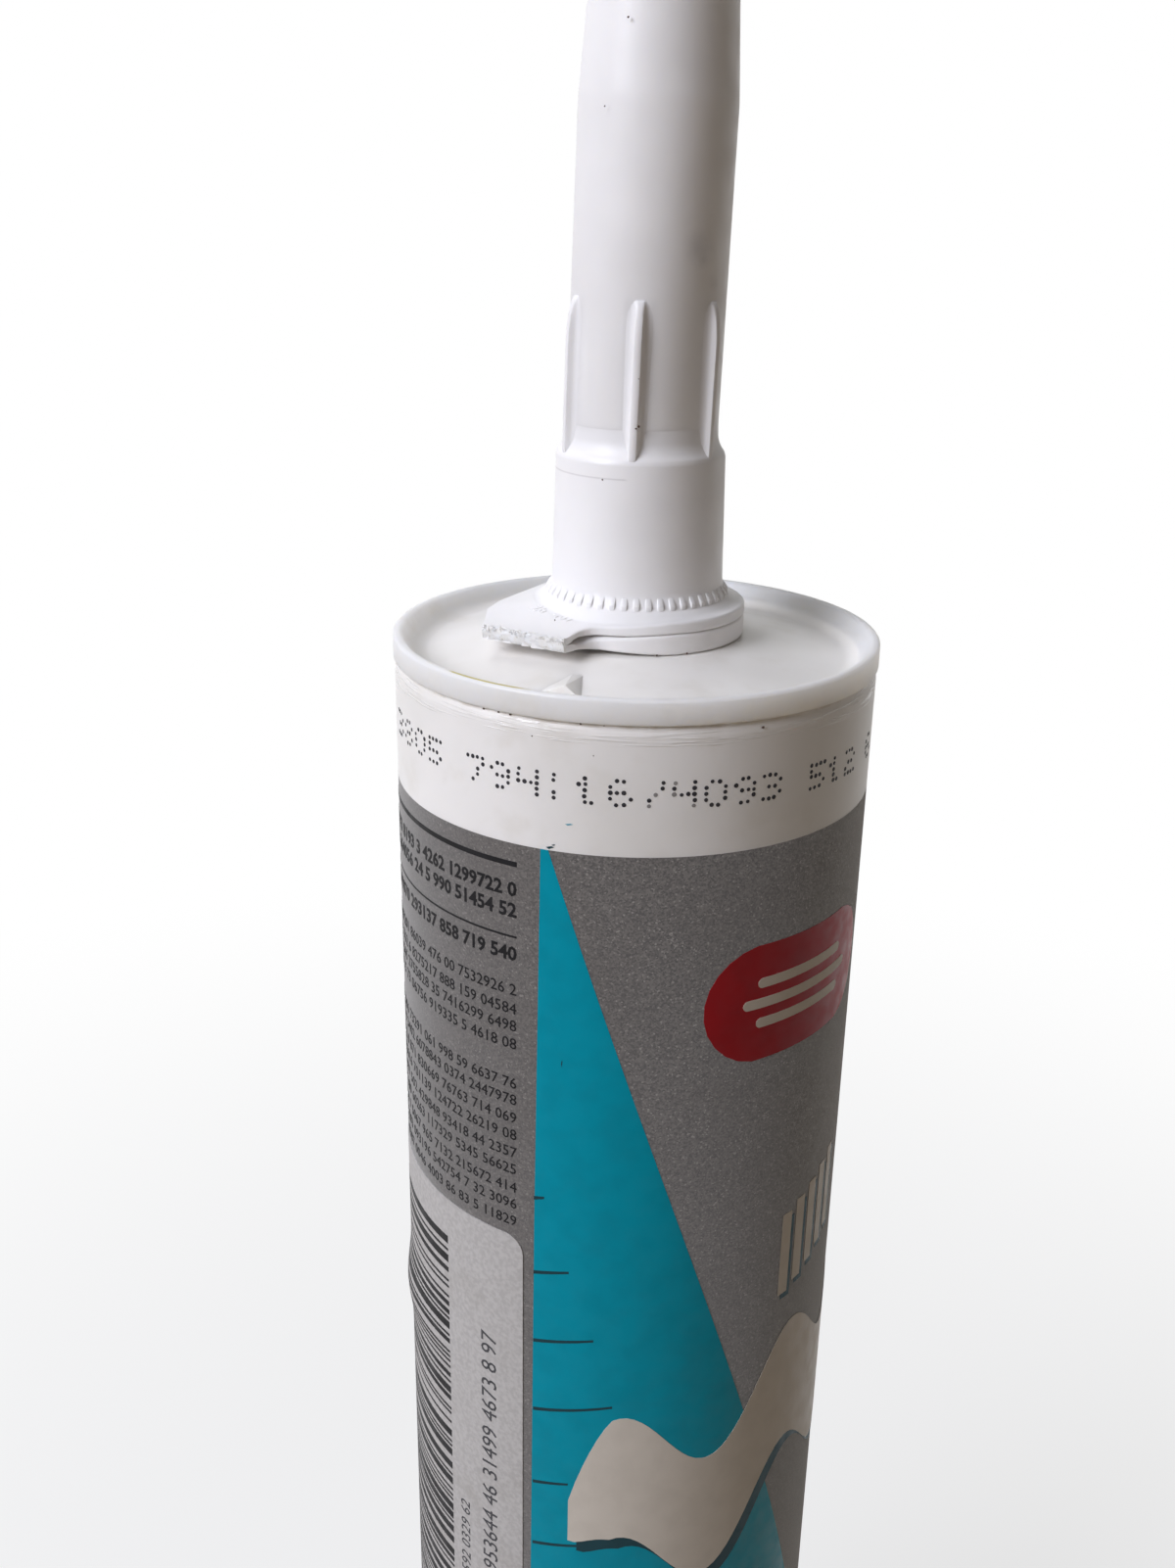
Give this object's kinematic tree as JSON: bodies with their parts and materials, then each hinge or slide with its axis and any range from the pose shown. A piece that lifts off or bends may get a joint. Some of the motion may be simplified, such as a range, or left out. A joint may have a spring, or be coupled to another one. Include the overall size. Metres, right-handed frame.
{
  "type": "sealant cartridge",
  "caption": "Round plastic sealant cartridge with a dished head, a screw-on tapered nozzle, a push-up piston and a charge of sealant.",
  "frame": {"origin": "centre of the barrel's rear edge, on the surface that the cartridge stands on", "axes": "+Z along the barrel towards the nozzle; -Y towards the viewer of the picture, +X to that viewer's right"},
  "size_m": [0.0498, 0.0498, 0.322],
  "materials": {
    "barrel_plastic": "moulded polyethylene, satin, with metallic grey and teal print",
    "nozzle_plastic": "moulded soft polyethylene, satin",
    "piston_plastic": "moulded soft polyethylene, satin",
    "sealant_paste": "white paste, wet",
    "sticker_paper": "coated paper, satin"
  },
  "bodies": {
    "cartridge": {"cartridge": "barrel_plastic", "sealant": "sealant_paste", "barcode_sticker": "sticker_paper"},
    "nozzle": {"nozzle": "nozzle_plastic"},
    "piston": {"piston": "piston_plastic"}
  },
  "joints": [
    {"name": "nozzle_lift", "type": "slide", "parent": "cartridge", "child": "nozzle", "axis": [0, 0, 1], "range_m": [0, 0.04]},
    {"name": "piston_push", "type": "slide", "parent": "cartridge", "child": "piston", "axis": [0, 0, 1], "range_m": [0, 0.178], "deforming": ["sealant"]}
  ]
}
